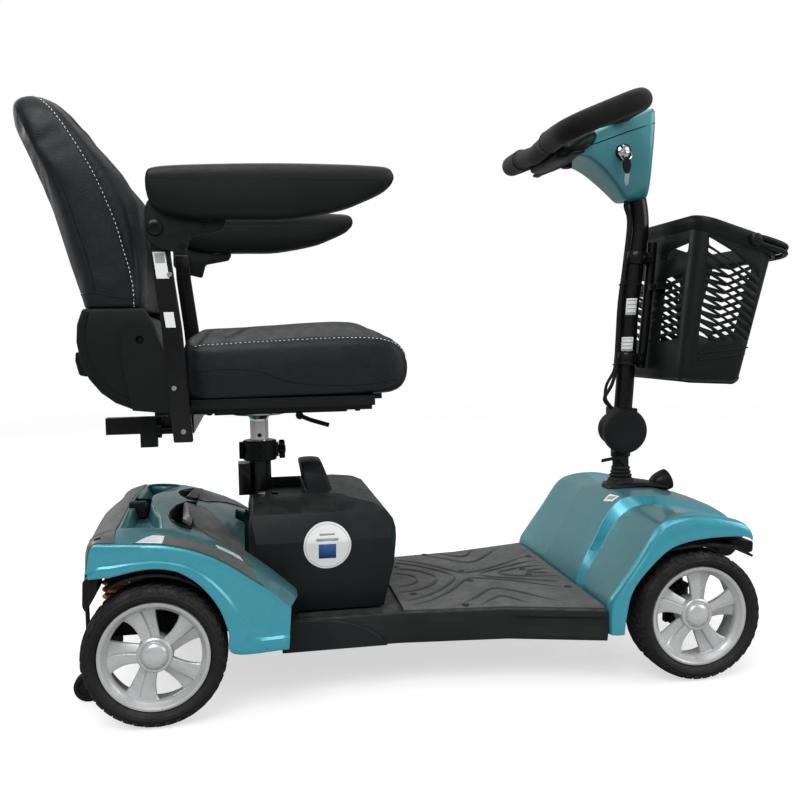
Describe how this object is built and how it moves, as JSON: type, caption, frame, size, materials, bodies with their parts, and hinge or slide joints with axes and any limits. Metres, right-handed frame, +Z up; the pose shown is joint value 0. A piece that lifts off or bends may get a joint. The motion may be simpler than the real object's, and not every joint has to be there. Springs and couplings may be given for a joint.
{
  "type": "mobility scooter",
  "caption": "Battery-powered scooter with a tilting steering tiller, a swivel seat with folding back and lifting armrests, a front basket and cast-look wheels.",
  "frame": {"origin": "on the ground, at the centre of the scooter's bounding box", "axes": "+X forwards (direction of travel), +Y to the rider's left, +Z up"},
  "size_m": [1.3629, 0.602, 1.0436],
  "materials": {
    "tyre": "matt black with block tread",
    "silver_alloy": "satin silver paint",
    "black_steel": "semi-gloss black",
    "arm_pad": "matt black skin",
    "black_plastic": "fine grain",
    "spring": "gloss orange",
    "castor_rubber": "matt black",
    "teal_paint": "metallic teal, glossy",
    "charcoal_plastic": "fine grain",
    "mat": "embossed, matt",
    "cable": "matt black",
    "grip": "soft foam grip",
    "chrome": "polished",
    "leatherette": "grained, white stitching",
    "clear_lens": "clear",
    "red_plastic": "glossy"
  },
  "bodies": {
    "chassis": {"rear_frame": "black_steel", "front_frame": "black_steel", "seat_post_socket": "black_steel", "front_shroud": "teal_paint", "rear_shroud": "teal_paint", "floor_pan": "charcoal_plastic", "floor_mat": "mat", "headlight_housing": "black_plastic", "headlight_lens": "clear_lens", "anti_tip_bracket": "black_steel", "suspension_spring_right": "spring", "suspension_spring_left": "spring"},
    "drive_unit": {"transaxle": "black_steel"},
    "column": {"steering_column": "black_steel"},
    "tilt_lock": {"tilt_lever": "black_steel"},
    "tiller": {"tiller_tube": "black_steel", "tiller_head": "teal_paint", "handlebar": "grip", "control_panel": "black_plastic", "tiller_cable": "cable", "basket": "black_plastic", "basket_bracket": "black_steel"},
    "dial": {"speed_dial": "black_plastic"},
    "horn": {"horn_button": "red_plastic"},
    "key": {"ignition_key": "chrome"},
    "throttle": {"throttle_lever": "black_plastic"},
    "basket_bail": {"basket_handle": "black_plastic"},
    "post": {"seat_post": "chrome"},
    "post_clamp": {"post_knob": "black_plastic"},
    "seat": {"swivel_plate": "black_steel", "seat_pan": "black_plastic", "seat_cushion": "leatherette", "armrest_receiver": "black_steel"},
    "seat_latch": {"swivel_lever": "black_plastic"},
    "backrest": {"backrest_shell": "black_plastic", "backrest_cushion": "leatherette"},
    "freewheel": {"freewheel_lever": "black_plastic"},
    "battery": {"battery_box": "charcoal_plastic"},
    "rear_wheel_right": {"rear_right_tyre": "tyre", "rear_right_rim": "silver_alloy"},
    "front_wheel_right": {"front_right_tyre": "tyre", "front_right_rim": "silver_alloy"},
    "knuckle_right": {"steering_knuckle_right": "black_steel"},
    "tie_rod_right": {"tie_rod_right": "black_steel"},
    "armrest_slide_right": {"armrest_upright_right": "black_steel"},
    "armrest_right": {"armrest_bracket_right": "black_steel", "armrest_pad_right": "arm_pad"},
    "width_clamp_right": {"width_knob_right": "black_plastic"},
    "anti_tip_wheel_right": {"anti_tip_wheel_right": "castor_rubber"},
    "rear_wheel_left": {"rear_left_tyre": "tyre", "rear_left_rim": "silver_alloy"},
    "front_wheel_left": {"front_left_tyre": "tyre", "front_left_rim": "silver_alloy"},
    "knuckle_left": {"steering_knuckle_left": "black_steel"},
    "tie_rod_left": {"tie_rod_left": "black_steel"},
    "armrest_slide_left": {"armrest_upright_left": "black_steel"},
    "armrest_left": {"armrest_bracket_left": "black_steel", "armrest_pad_left": "arm_pad"},
    "width_clamp_left": {"width_knob_left": "black_plastic"},
    "anti_tip_wheel_left": {"anti_tip_wheel_left": "castor_rubber"}
  },
  "joints": [
    {"name": "rear_suspension", "type": "hinge", "parent": "chassis", "child": "drive_unit", "pos_m": [-0.3389, 0, 0.118], "axis": [0, 1, 0], "range_deg": [0, 4], "deforming": ["suspension_spring_right", "suspension_spring_left"]},
    {"name": "tiller_steer", "type": "hinge", "parent": "chassis", "child": "column", "pos_m": [0.4141, 0, 0.2], "axis": [0, 0, 1], "range_deg": [-30, 30]},
    {"name": "rear_wheel_spin_right", "type": "hinge", "parent": "drive_unit", "child": "rear_wheel_right", "pos_m": [-0.4889, -0.23, 0.116], "axis": [0, 1, 0], "continuous": true},
    {"name": "kingpin_right", "type": "hinge", "parent": "chassis", "child": "knuckle_right", "pos_m": [0.4491, -0.185, 0.116], "axis": [0, 0, 1], "range_deg": [-30, 30]},
    {"name": "front_wheel_spin_right", "type": "hinge", "parent": "knuckle_right", "child": "front_wheel_right", "pos_m": [0.4491, -0.23, 0.116], "axis": [0, 1, 0], "continuous": true},
    {"name": "tie_rod_pivot_right", "type": "hinge", "parent": "column", "child": "tie_rod_right", "pos_m": [0.3421, 0, 0.1545], "axis": [0, 0, 1], "range_deg": [-30, 30]},
    {"name": "rear_wheel_spin_left", "type": "hinge", "parent": "drive_unit", "child": "rear_wheel_left", "pos_m": [-0.4889, 0.23, 0.116], "axis": [0, 1, 0], "continuous": true},
    {"name": "kingpin_left", "type": "hinge", "parent": "chassis", "child": "knuckle_left", "pos_m": [0.4491, 0.185, 0.116], "axis": [0, 0, 1], "range_deg": [-30, 30]},
    {"name": "front_wheel_spin_left", "type": "hinge", "parent": "knuckle_left", "child": "front_wheel_left", "pos_m": [0.4491, 0.23, 0.116], "axis": [0, 1, 0], "continuous": true},
    {"name": "tie_rod_pivot_left", "type": "hinge", "parent": "column", "child": "tie_rod_left", "pos_m": [0.3421, 0, 0.1635], "axis": [0, 0, 1], "range_deg": [-30, 30]},
    {"name": "tilt_release", "type": "hinge", "parent": "column", "child": "tilt_lock", "pos_m": [0.4141, -0.018, 0.362], "axis": [0, 1, 0], "range_deg": [-20, 0]},
    {"name": "tiller_tilt", "type": "hinge", "parent": "column", "child": "tiller", "pos_m": [0.4121, 0, 0.424], "axis": [0, 1, 0], "range_deg": [-10, 10]},
    {"name": "speed_dial_turn", "type": "hinge", "parent": "tiller", "child": "dial", "pos_m": [0.3109, 0, 1.00025], "axis": [-0.3273, 0, 0.9449], "range_deg": [-135, 135]},
    {"name": "horn_press", "type": "slide", "parent": "tiller", "child": "horn", "axis": [0.3273, 0, -0.9449], "range_m": [0, 0.002]},
    {"name": "key_turn", "type": "hinge", "parent": "tiller", "child": "key", "pos_m": [0.3951, -0.0523, 0.967], "axis": [0, 1, 0], "range_deg": [0, 90]},
    {"name": "throttle_swing", "type": "hinge", "parent": "tiller", "child": "throttle", "pos_m": [0.3011, 0, 0.95], "axis": [0, 0, 1], "range_deg": [-15, 15]},
    {"name": "basket_handle_lift", "type": "hinge", "parent": "tiller", "child": "basket_bail", "pos_m": [0.6091, 0, 0.788], "axis": [0, -1, 0], "range_deg": [0, 130]},
    {"name": "seat_height", "type": "slide", "parent": "chassis", "child": "post", "axis": [0, 0, 1], "range_m": [0, 0.08]},
    {"name": "post_knob_turn", "type": "hinge", "parent": "chassis", "child": "post_clamp", "pos_m": [-0.3439, 0, 0.411], "axis": [1, 0, 0], "continuous": true},
    {"name": "seat_swivel", "type": "hinge", "parent": "post", "child": "seat", "pos_m": [-0.3099, 0, 0.49], "axis": [0, 0, 1], "range_deg": [-90, 90]},
    {"name": "swivel_release", "type": "hinge", "parent": "seat", "child": "seat_latch", "pos_m": [-0.2389, -0.1, 0.482], "axis": [0, -1, 0], "range_deg": [0, 20]},
    {"name": "backrest_fold", "type": "hinge", "parent": "seat", "child": "backrest", "pos_m": [-0.4979, 0, 0.622], "axis": [0, 1, 0], "range_deg": [0, 70]},
    {"name": "armrest_width_right", "type": "slide", "parent": "seat", "child": "armrest_slide_right", "axis": [0, -1, 0], "range_m": [0, 0.05]},
    {"name": "armrest_lift_right", "type": "hinge", "parent": "armrest_slide_right", "child": "armrest_right", "pos_m": [-0.4619, -0.2685, 0.793], "axis": [0, -1, 0], "range_deg": [0, 100]},
    {"name": "width_knob_turn_right", "type": "hinge", "parent": "seat", "child": "width_clamp_right", "pos_m": [-0.4889, -0.125, 0.4645], "axis": [1, 0, 0], "continuous": true},
    {"name": "anti_tip_wheel_spin_right", "type": "hinge", "parent": "chassis", "child": "anti_tip_wheel_right", "pos_m": [-0.6149, -0.12, 0.025], "axis": [0, 1, 0], "continuous": true},
    {"name": "armrest_width_left", "type": "slide", "parent": "seat", "child": "armrest_slide_left", "axis": [0, 1, 0], "range_m": [0, 0.05]},
    {"name": "armrest_lift_left", "type": "hinge", "parent": "armrest_slide_left", "child": "armrest_left", "pos_m": [-0.4619, 0.2685, 0.793], "axis": [0, -1, 0], "range_deg": [0, 100]},
    {"name": "width_knob_turn_left", "type": "hinge", "parent": "seat", "child": "width_clamp_left", "pos_m": [-0.4889, 0.125, 0.4645], "axis": [1, 0, 0], "continuous": true},
    {"name": "anti_tip_wheel_spin_left", "type": "hinge", "parent": "chassis", "child": "anti_tip_wheel_left", "pos_m": [-0.6149, 0.12, 0.025], "axis": [0, 1, 0], "continuous": true},
    {"name": "freewheel_turn", "type": "hinge", "parent": "chassis", "child": "freewheel", "pos_m": [-0.5109, -0.0975, 0.3345], "axis": [0, 1, 0], "range_deg": [0, 40]},
    {"name": "battery_lift", "type": "slide", "parent": "chassis", "child": "battery", "axis": [0, 0, 1], "range_m": [0, 0.03]}
  ],
  "couplings": [
    {"joint": "kingpin_right", "follows": "tiller_steer", "ratio": 1},
    {"joint": "tie_rod_pivot_right", "follows": "tiller_steer", "ratio": -1},
    {"joint": "kingpin_left", "follows": "tiller_steer", "ratio": 1},
    {"joint": "tie_rod_pivot_left", "follows": "tiller_steer", "ratio": -1}
  ]
}
